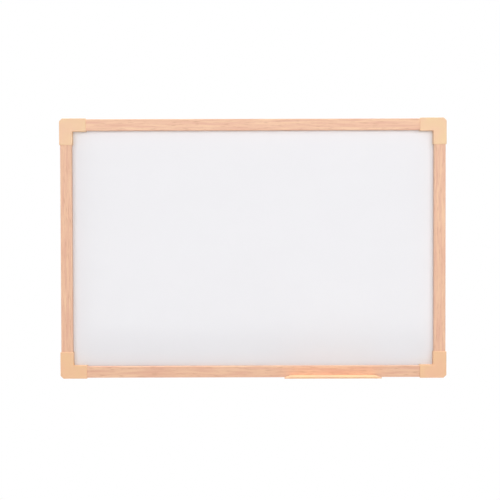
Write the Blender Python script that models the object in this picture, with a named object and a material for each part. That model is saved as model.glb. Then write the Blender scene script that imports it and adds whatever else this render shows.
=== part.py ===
"""A small framed dry-wipe board, hung on a wall: a lacquered sheet on a fibreboard core, held in
four grooved rails, whose ends slide into four hollow corner caps, with a clip-on pen tray.

Metres, +Z up. The origin is the middle of the board on the wall plane, the board lies in front
of that plane towards -Y, and +X is to the right as seen from the front.
"""

import math

import bmesh
import bpy

# Outer size, over the corner caps
BOARD_WIDTH = 0.612
BOARD_HEIGHT = 0.412

# The gap left wherever two pieces meet
SEAT = 0.0003

# Rails: one grooved moulding, cut square into four lengths
RAIL_WIDTH = 0.0180
RAIL_DEPTH = 0.0180
RAIL_LIP = 0.0085
RAIL_GROOVE_DEPTH = 0.0080
RAIL_OUTER_ROUND = 0.0018
RAIL_INNER_ROUND = 0.0012
RAIL_BACK_ROUND = 0.0006

# Panel layers, front to back
SHEET_THICK = 0.0005
CORE_THICK = 0.0040
BACK_SHEET_THICK = 0.0005

# Corner caps: one moulding, used four times
CAP_LEG = 0.0420
CAP_WALL = 0.0010
CAP_BACK = 0.0022
CAP_CORNER_WALL = 0.0026
CAP_CHAMFER = 0.0045
CAP_CHAMFER_SOFTENING = 0.0025
CAP_INNER_FILLET = 0.0008
CAP_EDGE_ROUND = 0.0008

# Keyhole in the back of each cap, for the head of a wall screw
KEYHOLE_RADIUS = 0.0042
KEYHOLE_SLOT_WIDTH = 0.0044
KEYHOLE_SLOT_REACH = 0.0056
WALL_SCREW_HEAD_RADIUS = 0.0038

# Countersunk screws that fasten the caps to the rails, from behind
SCREW_LENGTH = 0.0100
SCREW_HEAD_RADIUS = 0.0025
SCREW_HEAD_HEIGHT = 0.0014
SCREW_SHANK_RADIUS = 0.0013
SCREW_POINT = 0.0025
SCREW_SUNK = 0.0002
SCREW_FROM_LEG_END = 0.0110
RECESS_LENGTH = 0.0030
RECESS_WIDTH = 0.0007
RECESS_DEPTH = 0.0010
RECESS_TAPER = 0.55

# Pen tray: a dished shelf, whose closed ends are drawn out to low tips at the front, on two
# clips that reach under and behind the rail
TRAY_SHELF_LENGTH = 0.134
TRAY_DEPTH = 0.0180
TRAY_HEIGHT = 0.0036
TRAY_WALL = 0.0015
TRAY_DISH = 0.0014
TRAY_RIM_ROUND = 0.0006
TRAY_TIP_REACH = 0.0095
TRAY_TIP_DEPTH = 0.0030
TRAY_TIP_TOP = 0.0019
TRAY_TIP_UNDERSIDE = 0.0004
TRAY_END_STEP = 0.0002
TRAY_FROM_BOARD_END = 0.1044
CLIP_WIDTH = 0.0240
CLIP_FROM_TRAY_END = 0.0100
CLIP_LEG_THICK = 0.0018
CLIP_LEG_HEIGHT = 0.0090
CLIP_LEG_ROUND = 0.0006

# How finely round shapes are drawn
ARC_STEPS = 5
HOLE_SIDES = 24
DISH_STEPS = 14
BEVEL_STEPS = 3
SHARP_EDGE = math.radians(35)

# A cutter reaches this far past the faces that it opens
PAST = 0.0010

# Worked out: how far the caps stand proud, and the cap's own width
CAP_PROUD = CAP_WALL + SEAT
CAP_WIDTH = RAIL_WIDTH + 2 * CAP_PROUD
RAIL_STOP = CAP_WIDTH - SEAT

# Worked out: depths, as world Y
RAIL_BACK_Y = -(CAP_BACK + SEAT)
RAIL_FRONT_Y = RAIL_BACK_Y - RAIL_DEPTH
CAP_FRONT_Y = RAIL_FRONT_Y - CAP_PROUD
GROOVE_FRONT_Y = RAIL_FRONT_Y + RAIL_LIP
SHEET_FRONT_Y = GROOVE_FRONT_Y + SEAT
CORE_FRONT_Y = SHEET_FRONT_Y + SHEET_THICK + SEAT
BACK_SHEET_FRONT_Y = CORE_FRONT_Y + CORE_THICK + SEAT
GROOVE_BACK_Y = BACK_SHEET_FRONT_Y + BACK_SHEET_THICK + SEAT

# Worked out: places across the board
RAIL_OUTER_X = BOARD_WIDTH / 2 - CAP_PROUD
RAIL_OUTER_Z = BOARD_HEIGHT / 2 - CAP_PROUD
RAIL_SPINE = RAIL_WIDTH - RAIL_GROOVE_DEPTH
PANEL_FROM_CAP_FACE = CAP_PROUD + RAIL_SPINE + SEAT
PANEL_WIDTH = BOARD_WIDTH - 2 * PANEL_FROM_CAP_FACE
PANEL_HEIGHT = BOARD_HEIGHT - 2 * PANEL_FROM_CAP_FACE
SCREW_ALONG = CAP_LEG - SCREW_FROM_LEG_END
SCREW_ACROSS = CAP_PROUD + RAIL_SPINE / 2
KEYHOLE_AT = CAP_CORNER_WALL + SEAT + WALL_SCREW_HEAD_RADIUS + KEYHOLE_SLOT_REACH


def clear_scene():
    for item in list(bpy.data.objects):
        bpy.data.objects.remove(item, do_unlink=True)


def material(name, colour, roughness, metallic=0.0):
    """A Principled BSDF in one colour, given as linear red, green and blue."""
    made = bpy.data.materials.new(name)
    made.use_nodes = True
    shader = made.node_tree.nodes["Principled BSDF"]
    shader.inputs["Base Color"].default_value = (*colour, 1.0)
    shader.inputs["Roughness"].default_value = roughness
    shader.inputs["Metallic"].default_value = metallic
    return made


def link(name, mesh):
    made = bpy.data.objects.new(name, mesh)
    bpy.context.scene.collection.objects.link(made)
    return made


def mesh_of(name, bm):
    """A mesh from a bmesh, its faces outwards, its round parts smooth and its corners sharp."""
    bmesh.ops.recalc_face_normals(bm, faces=bm.faces)
    mesh = bpy.data.meshes.new(name)
    bm.to_mesh(mesh)
    bm.free()
    mesh.shade_smooth()
    mesh.set_sharp_from_angle(angle=SHARP_EDGE)
    return mesh


def loft(loops):
    """A closed bmesh through loops of equally many points, its first and last loops filled."""
    bm = bmesh.new()
    rows = [[bm.verts.new(point) for point in loop] for loop in loops]
    count = len(rows[0])
    for row, after in zip(rows, rows[1:]):
        for i in range(count):
            j = (i + 1) % count
            bm.faces.new((row[i], row[j], after[j], after[i]))
    bm.faces.new(rows[0])
    bm.faces.new(rows[-1])
    return bm


def box(name, low, high):
    """A box between two opposite corners."""
    outline = ((low[0], low[2]), (high[0], low[2]), (high[0], high[2]), (low[0], high[2]))
    loops = [[(x, y, z) for x, z in outline] for y in (low[1], high[1])]
    return mesh_of(name, loft(loops))


def disc_outline(radius, centre=(0.0, 0.0), sides=HOLE_SIDES):
    turns = [2 * math.pi * i / sides for i in range(sides)]
    return [(centre[0] + radius * math.cos(t), centre[1] + radius * math.sin(t)) for t in turns]


def slot_outline(start, end, width):
    """A slot with round ends, from one end's centre to the other's."""
    along = math.atan2(end[1] - start[1], end[0] - start[0])
    steps = HOLE_SIDES // 2
    points = []
    for centre, first in ((end, along - math.pi / 2), (start, along + math.pi / 2)):
        for i in range(steps + 1):
            turn = first + math.pi * i / steps
            x = centre[0] + width / 2 * math.cos(turn)
            points.append((x, centre[1] + width / 2 * math.sin(turn)))
    return points


def softened(corners, steps=ARC_STEPS):
    """An outline through corners given as (a, b, radius), each with a radius turned into an arc."""
    points = []
    for i, (a, b, radius) in enumerate(corners):
        if radius == 0:
            points.append((a, b))
            continue
        before = corners[i - 1]
        after = corners[(i + 1) % len(corners)]
        came = math.atan2(before[1] - b, before[0] - a)
        goes = math.atan2(after[1] - b, after[0] - a)
        opening = (goes - came + math.pi) % (2 * math.pi) - math.pi
        middle = came + opening / 2
        to_centre = radius / math.sin(abs(opening) / 2)
        centre = (a + to_centre * math.cos(middle), b + to_centre * math.sin(middle))
        sweep = math.pi - abs(opening)
        side = 1 if opening > 0 else -1
        for k in range(steps + 1):
            turn = middle + math.pi + side * sweep * (0.5 - k / steps)
            x = centre[0] + radius * math.cos(turn)
            points.append((x, centre[1] + radius * math.sin(turn)))
    return points


def prism(name, outline, y_from, y_to):
    """An outline of (x, z) points carried along Y."""
    return mesh_of(name, loft([[(x, y, z) for x, z in outline] for y in (y_from, y_to)]))


def cutter(name, mesh):
    """A helper that only shapes other pieces."""
    made = link(name, mesh)
    made.hide_render = True
    made.display_type = "WIRE"
    return made


def boolean(target, other, operation="DIFFERENCE"):
    modifier = target.modifiers.new(other.name, "BOOLEAN")
    modifier.operation = operation
    modifier.object = other
    modifier.solver = "EXACT"


def settled(target, name):
    """The mesh that an object's modifiers give, so that copies can share it."""
    bpy.context.view_layer.update()
    graph = bpy.context.evaluated_depsgraph_get()
    mesh = bpy.data.meshes.new_from_object(target.evaluated_get(graph))
    mesh.name = name
    mesh.shade_smooth()
    mesh.set_sharp_from_angle(angle=SHARP_EDGE)
    return mesh


def rail_section():
    """The moulding's section as (y, z), with z = 0 on its outer face and the groove below."""
    corners = (
        (RAIL_FRONT_Y, 0.0, RAIL_OUTER_ROUND),
        (RAIL_BACK_Y, 0.0, RAIL_BACK_ROUND),
        (RAIL_BACK_Y, -RAIL_WIDTH, RAIL_BACK_ROUND),
        (GROOVE_BACK_Y, -RAIL_WIDTH, 0.0),
        (GROOVE_BACK_Y, -RAIL_SPINE, 0.0),
        (GROOVE_FRONT_Y, -RAIL_SPINE, 0.0),
        (GROOVE_FRONT_Y, -RAIL_WIDTH, 0.0),
        (RAIL_FRONT_Y, -RAIL_WIDTH, RAIL_INNER_ROUND),
    )
    return softened(corners)


def rail(name, length, place, turn, finish):
    """One length of moulding along its own X, with a blind pilot hole near each end for a screw."""
    half = length / 2
    section = rail_section()
    mesh = mesh_of(name, loft([[(x, y, z) for y, z in section] for x in (-half, half)]))
    mesh.materials.append(finish)
    made = link(name, mesh)
    hole_bottom = -(SCREW_SUNK + SCREW_LENGTH + SEAT)
    for side in (-1, 1):
        centre = (side * (half + CAP_WIDTH - SCREW_ALONG), -RAIL_SPINE / 2)
        outline = disc_outline(SCREW_SHANK_RADIUS + SEAT, centre)
        hole = prism(name + "_pilot", outline, hole_bottom, RAIL_BACK_Y + PAST)
        pilot = cutter(name + "_pilot", hole)
        pilot.parent = made
        boolean(made, pilot)
    made.location = place
    made.rotation_euler = (0.0, turn, 0.0)


def rails(finish):
    across = BOARD_WIDTH - 2 * CAP_WIDTH
    upright = BOARD_HEIGHT - 2 * CAP_WIDTH
    rail("rail_top", across, (0.0, 0.0, RAIL_OUTER_Z), 0.0, finish)
    rail("rail_bottom", across, (0.0, 0.0, -RAIL_OUTER_Z), math.pi, finish)
    rail("rail_left", upright, (-RAIL_OUTER_X, 0.0, 0.0), -math.pi / 2, finish)
    rail("rail_right", upright, (RAIL_OUTER_X, 0.0, 0.0), math.pi / 2, finish)


def panel_layer(name, front_y, thick, finish):
    """One flat layer of the panel, its edges in the four grooves."""
    low = (-PANEL_WIDTH / 2, front_y, -PANEL_HEIGHT / 2)
    high = (PANEL_WIDTH / 2, front_y + thick, PANEL_HEIGHT / 2)
    mesh = box(name, low, high)
    mesh.materials.append(finish)
    link(name, mesh)


def cap_outline():
    """The cap's L from the front: its outer corner at the origin, one leg to +X, one to -Z."""
    corners = (
        (CAP_CHAMFER, 0.0, CAP_CHAMFER_SOFTENING),
        (CAP_LEG, 0.0, 0.0),
        (CAP_LEG, -CAP_WIDTH, 0.0),
        (CAP_WIDTH, -CAP_WIDTH, CAP_INNER_FILLET),
        (CAP_WIDTH, -CAP_LEG, 0.0),
        (0.0, -CAP_LEG, 0.0),
        (0.0, -CAP_CHAMFER, CAP_CHAMFER_SOFTENING),
    )
    return softened(corners)


def cap_cutters():
    """Sockets for the two rail ends, the corner's hollow, the panel's slot and the keyhole."""
    inside = CAP_WIDTH - CAP_WALL
    beyond = CAP_LEG + PAST
    front = CAP_FRONT_Y + CAP_WALL
    yield box("socket_across", (RAIL_STOP, front, -inside), (beyond, -CAP_BACK, -CAP_WALL))
    yield box("socket_down", (CAP_WALL, front, -beyond), (inside, -CAP_BACK, -RAIL_STOP))
    low = (CAP_CORNER_WALL, front, -inside)
    yield box("corner_hollow", low, (inside, -CAP_BACK, -CAP_CORNER_WALL))
    low = (PANEL_FROM_CAP_FACE - SEAT, GROOVE_FRONT_Y, -beyond)
    yield box("panel_slot", low, (beyond, GROOVE_BACK_Y, SEAT - PANEL_FROM_CAP_FACE))
    entry = (KEYHOLE_AT, -KEYHOLE_AT)
    ends = (
        (KEYHOLE_AT - KEYHOLE_SLOT_REACH, -KEYHOLE_AT),
        (KEYHOLE_AT, KEYHOLE_SLOT_REACH - KEYHOLE_AT),
    )
    y_range = (-CAP_BACK - PAST, PAST)
    yield prism("keyhole_entry", disc_outline(KEYHOLE_RADIUS, entry), *y_range)
    for end in ends:
        yield prism("keyhole_slot", slot_outline(entry, end, KEYHOLE_SLOT_WIDTH), *y_range)


def screw_places():
    """Where the two screws of a cap stand, as (x, z) from its outer corner."""
    return ((SCREW_ALONG, -SCREW_ACROSS), (SCREW_ACROSS, -SCREW_ALONG))


def screw_profile(grown=0.0):
    """The screw's outline as (radius, y), from its head to its point, grown for its hole."""
    head = -SCREW_SUNK
    neck = head - SCREW_HEAD_HEIGHT
    tip = head - SCREW_LENGTH
    return (
        (SCREW_HEAD_RADIUS + grown, head),
        (SCREW_SHANK_RADIUS + grown, neck),
        (SCREW_SHANK_RADIUS + grown, tip + SCREW_POINT),
        (SCREW_SHANK_RADIUS / 4, tip),
    )


def turned(name, profile, centre=(0.0, 0.0)):
    """A profile of (radius, y) turned about the Y axis through a centre."""
    loops = []
    for radius, y in profile:
        loops.append([(x, y, z) for x, z in disc_outline(radius, centre)])
    return mesh_of(name, loft(loops))


def cap_mesh():
    """The cap as moulded: a softened L block, hollowed out for all that goes into it."""
    block = cutter("cap_block", prism("cap_block", cap_outline(), CAP_FRONT_Y, 0.0))
    soften = block.modifiers.new("edges", "BEVEL")
    soften.width = CAP_EDGE_ROUND
    soften.segments = BEVEL_STEPS
    soften.limit_method = "ANGLE"
    soften.angle_limit = math.radians(40)
    for mesh in cap_cutters():
        boolean(block, cutter(mesh.name, mesh))
    head, neck = screw_profile(SEAT)[:2]
    sink = ((head[0], PAST), head, neck, (neck[0], -CAP_BACK - PAST))
    for centre in screw_places():
        boolean(block, cutter("cap_sink", turned("cap_sink", sink, centre)))
    return settled(block, "corner_cap")


def cross_outline(scale):
    """A plus sign, for the driver's recess."""
    reach = RECESS_LENGTH / 2 * scale
    half = RECESS_WIDTH / 2 * scale
    quarter = ((reach, -half), (reach, half), (half, half))
    points = []
    for turn in range(4):
        c = round(math.cos(turn * math.pi / 2))
        s = round(math.sin(turn * math.pi / 2))
        points += [(c * x - s * z, s * x + c * z) for x, z in quarter]
    return points


def screw_mesh():
    """A countersunk screw with a tapered cross recess. Its thread runs inside the rail."""
    blank = cutter("screw_blank", turned("screw_blank", screw_profile()))
    levels = ((1.0, PAST - SCREW_SUNK), (1.0, -SCREW_SUNK))
    bottom = (RECESS_TAPER, -SCREW_SUNK - RECESS_DEPTH)
    loops = []
    for scale, y in (*levels, bottom):
        loops.append([(x, y, z) for x, z in cross_outline(scale)])
    boolean(blank, cutter("screw_recess", mesh_of("screw_recess", loft(loops))))
    return settled(blank, "cap_screw")


def corners(cap_finish, screw_finish):
    """Four caps with two screws each, every set hung on an empty at its outer corner."""
    cap = cap_mesh()
    screw = screw_mesh()
    cap.materials.append(cap_finish)
    screw.materials.append(screw_finish)
    places = (
        ("top_left", -1, 1, 0),
        ("top_right", 1, 1, 1),
        ("bottom_right", 1, -1, 2),
        ("bottom_left", -1, -1, 3),
    )
    for name, side, level, quarter_turns in places:
        holder = link("corner_" + name, None)
        holder.location = (side * BOARD_WIDTH / 2, 0.0, level * BOARD_HEIGHT / 2)
        holder.rotation_euler = (0.0, quarter_turns * math.pi / 2, 0.0)
        link("cap_" + name, cap).parent = holder
        for letter, (x, z) in zip("ab", screw_places()):
            made = link("cap_screw_" + name + "_" + letter, screw)
            made.parent = holder
            made.location = (x, 0.0, z)


def dish(forward):
    """Height of the tray's floor at a share of the way from its back rim to its front rim."""
    return TRAY_HEIGHT - TRAY_DISH * (0.5 - 0.5 * math.cos(2 * math.pi * forward))


def tray_bar(back, front, under, top):
    """A bar's section as (forward, height), with its two front edges rounded."""
    corners = (
        (front, top, TRAY_RIM_ROUND),
        (front, under, TRAY_RIM_ROUND),
        (back, under, 0.0),
        (back, top, 0.0),
    )
    return softened(corners)


def tray_section():
    """The shelf's section as (forward of the rail's face, height over the rail's underside)."""
    back = SEAT
    rims = (back + TRAY_WALL, TRAY_DEPTH - TRAY_WALL)
    steps = [i / DISH_STEPS for i in range(DISH_STEPS + 1)]
    floor = [(rims[0] + (rims[1] - rims[0]) * t, dish(t)) for t in steps]
    under = [(forward, height - TRAY_WALL) for forward, height in reversed(floor)]
    lip = tray_bar(rims[1], TRAY_DEPTH, 0.0, TRAY_HEIGHT)
    heel = [(rims[0], 0.0), (back, 0.0), (back, TRAY_HEIGHT)]
    return floor + lip[:-1] + under + heel


def tray_end(side):
    """One end wall, a small step inside the shelf's skin, drawn out to a low tip at its front."""
    front = TRAY_DEPTH - TRAY_END_STEP
    low, high = TRAY_END_STEP, TRAY_HEIGHT - TRAY_END_STEP
    wall = tray_bar(SEAT + TRAY_END_STEP, front, low, high)
    tip = tray_bar(front - TRAY_TIP_DEPTH, front, TRAY_TIP_UNDERSIDE, TRAY_TIP_TOP)
    reach = TRAY_SHELF_LENGTH / 2
    stations = ((reach - TRAY_WALL, wall), (reach, wall), (reach + TRAY_TIP_REACH, tip))
    loops = [[(side * x, -f, h) for f, h in outline] for x, outline in stations]
    return mesh_of("pen_tray_end", loft(loops))


def clip_section():
    """One clip's section: under the rail from the shelf's heel, then up behind the rail."""
    heel = SEAT + TRAY_WALL
    behind = -(RAIL_DEPTH + SEAT)
    outside = behind - CLIP_LEG_THICK
    lifted = CLIP_LEG_HEIGHT - CAP_PROUD
    corners = (
        (heel, -CAP_PROUD, CLIP_LEG_ROUND),
        (heel, TRAY_HEIGHT / 4, 0.0),
        (SEAT, TRAY_HEIGHT / 4, 0.0),
        (SEAT, -SEAT, 0.0),
        (behind, -SEAT, 0.0),
        (behind, lifted, CLIP_LEG_ROUND),
        (outside, lifted, CLIP_LEG_ROUND),
        (outside, -CAP_PROUD, CLIP_LEG_ROUND),
    )
    return softened(corners)


def pen_tray(finish):
    """The shelf, its two ends and its two clips as one moulding, placed on the bottom rail."""
    half = TRAY_SHELF_LENGTH / 2
    loops = [[(x, -f, h) for f, h in tray_section()] for x in (-half, half)]
    mesh = mesh_of("pen_tray", loft(loops))
    mesh.materials.append(finish)
    made = link("pen_tray", mesh)
    near = half - CLIP_FROM_TRAY_END
    for side in (-1, 1):
        clip_ends = (side * near, side * (near - CLIP_WIDTH))
        clip_loops = [[(x, -f, h) for f, h in clip_section()] for x in clip_ends]
        for extra in (tray_end(side), mesh_of("pen_tray_clip", loft(clip_loops))):
            joined = cutter(extra.name, extra)
            joined.parent = made
            boolean(made, joined, "UNION")
    middle = BOARD_WIDTH / 2 - TRAY_FROM_BOARD_END - TRAY_TIP_REACH - half
    made.location = (middle, RAIL_FRONT_Y, -RAIL_OUTER_Z)


def build():
    clear_scene()
    wood_print = material("wood_print", (0.85, 0.56, 0.40), 0.45)
    cap_plastic = material("cap_plastic", (0.90, 0.64, 0.41), 0.40)
    lacquer = material("white_lacquer", (0.87, 0.87, 0.89), 0.15)
    fibreboard = material("fibreboard", (0.33, 0.21, 0.12), 0.85)
    zinc_sheet = material("back_sheet_grey", (0.42, 0.43, 0.44), 0.45, 0.6)
    zinc_screw = material("zinc_screw", (0.60, 0.60, 0.58), 0.35, 1.0)
    panel_layer("writing_sheet", SHEET_FRONT_Y, SHEET_THICK, lacquer)
    panel_layer("core_board", CORE_FRONT_Y, CORE_THICK, fibreboard)
    panel_layer("back_sheet", BACK_SHEET_FRONT_Y, BACK_SHEET_THICK, zinc_sheet)
    rails(wood_print)
    corners(cap_plastic, zinc_screw)
    pen_tray(cap_plastic)


build()
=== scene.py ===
# %% [markdown]
# # A small framed whiteboard
#
# The real thing is a light board for a wall: a lacquered steel sheet on a fibreboard core, held in
# four wood-print rails, with a moulded cap on each corner and a short pen tray clipped to the
# bottom rail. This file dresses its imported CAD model. Each step first says what the piece is, how
# it could be made, and why it is made the way it is here.

import math

import bmesh
import bpy
import numpy as np
from mathutils import Matrix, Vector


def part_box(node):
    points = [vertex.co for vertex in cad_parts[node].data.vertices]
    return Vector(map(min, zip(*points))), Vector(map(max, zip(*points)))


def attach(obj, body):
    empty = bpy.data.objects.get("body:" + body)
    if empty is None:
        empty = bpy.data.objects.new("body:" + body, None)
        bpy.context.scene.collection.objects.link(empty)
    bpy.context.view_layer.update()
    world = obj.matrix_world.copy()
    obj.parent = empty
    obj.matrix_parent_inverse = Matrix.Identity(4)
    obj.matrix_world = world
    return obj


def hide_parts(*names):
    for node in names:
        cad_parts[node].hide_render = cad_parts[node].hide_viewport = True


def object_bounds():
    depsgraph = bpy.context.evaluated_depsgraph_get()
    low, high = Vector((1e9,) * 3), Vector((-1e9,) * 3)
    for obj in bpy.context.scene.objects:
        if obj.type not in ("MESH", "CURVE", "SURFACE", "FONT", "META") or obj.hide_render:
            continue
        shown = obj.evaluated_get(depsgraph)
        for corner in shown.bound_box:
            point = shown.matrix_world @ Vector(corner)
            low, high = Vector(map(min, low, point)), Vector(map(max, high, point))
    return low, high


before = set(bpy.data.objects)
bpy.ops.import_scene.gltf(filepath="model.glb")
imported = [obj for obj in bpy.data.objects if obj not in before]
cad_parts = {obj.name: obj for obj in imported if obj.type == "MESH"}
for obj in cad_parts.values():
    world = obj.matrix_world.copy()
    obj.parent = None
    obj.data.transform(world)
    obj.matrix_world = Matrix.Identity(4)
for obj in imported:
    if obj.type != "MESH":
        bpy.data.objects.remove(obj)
cad_low, cad_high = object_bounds()
MM = 0.001
cad_size = [round((high - low) / MM, 1) for low, high in zip(cad_low, cad_high)]
print("CAD box, mm:", cad_size)
print("CAD nodes:", len(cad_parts))

# %% [markdown]
# ## Sizes that the pieces share
#
# A replacement has to lie exactly where its CAD node lies, so the sizes of the CAD model are
# written here once more, in metres, and every new piece is worked out from them. The origin is the
# middle of the board on the wall plane, and the front looks along -Y.

# %% Sizes
BOARD_WIDTH, BOARD_HEIGHT = 0.612, 0.412
SEAT = 0.0003

CAP_LEG, CAP_WALL, CAP_BACK = 0.042, 0.001, 0.0022
CAP_CORNER_WALL = 0.0026
CAP_CHAMFER = 0.0045
RAIL_WIDTH, RAIL_DEPTH, RAIL_LIP = 0.018, 0.018, 0.0085
RAIL_SPINE = 0.010

CAP_PROUD = CAP_WALL + SEAT
CAP_WIDTH = RAIL_WIDTH + 2 * CAP_PROUD
RAIL_BACK_Y = -(CAP_BACK + SEAT)
RAIL_FRONT_Y = RAIL_BACK_Y - RAIL_DEPTH
CAP_FRONT_Y = RAIL_FRONT_Y - CAP_PROUD
GROOVE_FRONT_Y = RAIL_FRONT_Y + RAIL_LIP
GROOVE_BACK_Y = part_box("back_sheet")[1].y + SEAT
print("rail faces at y =", round(RAIL_FRONT_Y / MM, 2), "mm")
print("cap faces at y =", round(CAP_FRONT_Y / MM, 2), "mm")

# %% [markdown]
# ## Points, skins and rounded corners
#
# Every new shape below is one idea: a ring of points that is carried through space, ring after
# ring. The rings form a grid, neighbours are joined by quads, and the first and last ring are
# filled, so that the skin is closed. Modelling by hand with extrudes would give the same skins,
# but a formula keeps the sizes readable and makes every copy alike.
#
# No real edge is perfectly sharp. `rounded` turns the corners of a polygon into arcs, and leaves
# one extra point on each side of an arc. That point keeps smooth shading from bleeding over the
# flat beside it.

# %% Rounded outlines
def unit(vectors):
    """Each vector divided by its own length."""
    return vectors / np.linalg.norm(vectors, axis=-1, keepdims=True)


def rounded(corners, radii, steps=6, hold=0.0002):
    """A polygon's outline with arcs for corners, and the outward direction at each point.

    An arc's centre lies on the corner's bisector, radius / sin(half the angle) away, and the arc
    is the turn from one touching point to the other about that centre.
    """
    p = np.asarray(corners, float)
    r = np.broadcast_to(np.asarray(radii, float), len(p))[:, None]
    back, on = unit(np.roll(p, 1, 0) - p), unit(np.roll(p, -1, 0) - p)
    half = np.arccos(np.clip((back * on).sum(1, keepdims=True), -1, 1)) / 2
    centre = p + unit(back + on) * r / np.sin(half)
    start, end = p + back * r / np.tan(half), p + on * r / np.tan(half)
    share = np.linspace(0, 1, steps + 1)[None, :, None]
    sweep = (np.pi - 2 * half)[:, None]
    spoke_a, spoke_b = (start - centre)[:, None], (end - centre)[:, None]
    turned_a, turned_b = np.sin((1 - share) * sweep) * spoke_a, np.sin(share * sweep) * spoke_b
    spokes = (turned_a + turned_b) / np.sin(sweep)
    turns = on[:, 0] * back[:, 1] - on[:, 1] * back[:, 0]
    after = np.roll(p, -1, 0)
    area = (p[:, 0] * after[:, 1] - p[:, 1] * after[:, 0]).sum()
    bulges = (np.sign(turns) * np.sign(area))[:, None, None]
    outward = unit(spokes) * bulges
    arcs = centre[:, None] + spokes
    points = np.concatenate([(start + back * hold)[:, None], arcs, (end + on * hold)[:, None]], 1)
    outward = np.concatenate([outward[:, :1], outward, outward[:, -1:]], 1)
    return points.reshape(-1, 2), outward.reshape(-1, 2)


square_points, _ = rounded([(0, 0), (1, 0), (1, 1), (0, 1)], 0.1)
print("a square with rounded corners has", len(square_points), "points")

# %% [markdown]
# ## A skin over a grid
#
# A grid holds one ring of points after another. Blender takes it as a list of points and a list of
# faces, and the numbers of the faces' corners come from the same grid, shifted by one place or by
# one ring. The sign of the volume tells whether the faces look outwards.

# %% Skins and simple outlines
def skin(name, grid, uv=None):
    """A closed mesh over a grid of points [ring, place round the ring].

    Quad (i, j) joins rings i and i+1 at places j and j+1, where the last place meets the first.
    A negative volume means that the faces look inwards, so they are turned round.
    """
    rings, places = grid.shape[:2]
    index = np.arange(rings * places).reshape(rings, places)
    beside = np.roll(index, -1, 1)
    quads = np.stack([index[:-1], beside[:-1], beside[1:], index[1:]], -1).reshape(-1, 4)
    mesh = bpy.data.meshes.new(name)
    faces = quads.tolist() + [index[0][::-1].tolist(), index[-1].tolist()]
    mesh.from_pydata(grid.reshape(-1, 3), [], faces)
    if uv is not None:
        low, high = uv[:-1], uv[1:]
        corners = np.stack([low[:, :-1], low[:, 1:], high[:, 1:], high[:, :-1]], 2)
        ends = np.concatenate([uv[0, :-1][::-1], uv[-1, :-1]])
        layer = mesh.uv_layers.new(name="foil")
        layer.uv.foreach_set("vector", np.concatenate([corners.reshape(-1, 2), ends]).ravel())
    bm = bmesh.new()
    bm.from_mesh(mesh)
    if bm.calc_volume(signed=True) < 0:
        bmesh.ops.reverse_faces(bm, faces=bm.faces)
    bm.to_mesh(mesh)
    bm.free()
    return mesh


def along_y(outline, levels):
    """A grid that carries an outline of (x, z) points to each level of y."""
    y = np.broadcast_to(np.asarray(levels, float)[:, None], (len(levels), len(outline)))
    x, z = (np.broadcast_to(outline[:, k], y.shape) for k in (0, 1))
    return np.stack([x, y, z], -1)


def ring(radius, centre=(0.0, 0.0), sides=48):
    """Points of a circle: its centre plus the radius times cosine and sine."""
    turn = np.arange(sides) * 2 * np.pi / sides
    return np.stack([np.cos(turn), np.sin(turn)], -1) * radius + centre


def block(low, high):
    """A plain box between two corners, used only to cut with."""
    outline = np.array([(low[0], low[2]), (high[0], low[2]), (high[0], high[2]), (low[0], high[2])])
    return skin("cutter", along_y(outline, (low[1], high[1])))


print("a circle has", len(ring(1.0)), "points")

# %% [markdown]
# ## Cutting, placing and standing in
#
# Holes and sockets are cut with Boolean modifiers, whose result is then taken as the finished
# mesh, so that nothing stays live. `moved` turns a mesh by quarter turns about Y and shifts it,
# in its vertices. Objects themselves stay at the origin, because textures on Object coordinates
# and the export both count on that.

# %% Helpers for objects
SMOOTH_UP_TO = math.radians(38)


def shown(mesh, name, finish=None):
    """Links a mesh as an object at the origin, smooth but for its sharp edges."""
    mesh.name = name
    mesh.shade_smooth()
    mesh.set_sharp_from_angle(angle=SMOOTH_UP_TO)
    if finish is not None:
        mesh.materials.clear()
        mesh.materials.append(finish)
    made = bpy.data.objects.new(name, mesh)
    bpy.context.scene.collection.objects.link(made)
    return made


def cut(mesh, cutters, operation="DIFFERENCE"):
    """The mesh after each cutter has been taken out of it, or joined to it."""
    body = shown(mesh, "body")
    helpers = [shown(cutter, "helper") for cutter in cutters]
    for helper in helpers:
        step = body.modifiers.new("cut", "BOOLEAN")
        step.operation, step.solver, step.object = operation, "EXACT", helper
    bpy.context.view_layer.update()
    graph = bpy.context.evaluated_depsgraph_get()
    result = bpy.data.meshes.new_from_object(body.evaluated_get(graph))
    for helper in [body, *helpers]:
        bpy.data.objects.remove(helper)
    return result


def moved(mesh, quarter_turns, shift):
    """A copy of the mesh, turned about Y by quarter turns and then shifted."""
    copy = mesh.copy()
    turn = Matrix.Rotation(quarter_turns * math.pi / 2, 4, "Y")
    copy.transform(Matrix.Translation(shift) @ turn)
    return copy


def stand_in(piece, node):
    """Rides the piece on the body in its CAD node's place, and tells how far their boxes differ."""
    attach(piece, "root")
    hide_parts(node)
    corners = np.array([corner[:] for corner in piece.bound_box])
    low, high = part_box(node)
    off = np.abs(np.concatenate([corners.min(0) - low[:], corners.max(0) - high[:]])).max()
    print(f"{piece.name}: {len(piece.data.polygons)} faces, {off / MM:.2f} mm from its node's box")


print("edges stay smooth up to", round(math.degrees(SMOOTH_UP_TO)), "degrees")

# %% [markdown]
# ## How the materials are written
#
# `linear` turns a colour as a screen shows it into the linear numbers that shaders use. `node`
# adds a shader node and fills or links its sockets in one line. A value that is the same all over
# a surface goes straight onto the Principled shader, and only what varies gets nodes.

# %% Helpers for materials
def linear(red, green, blue):
    """A screen colour, 0 to 255, as linear RGBA by the sRGB curve."""
    c = np.array([red, green, blue]) / 255
    c = np.where(c <= 0.04045, c / 12.92, ((c + 0.055) / 1.055) ** 2.4)
    return (*c.tolist(), 1.0)


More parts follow.
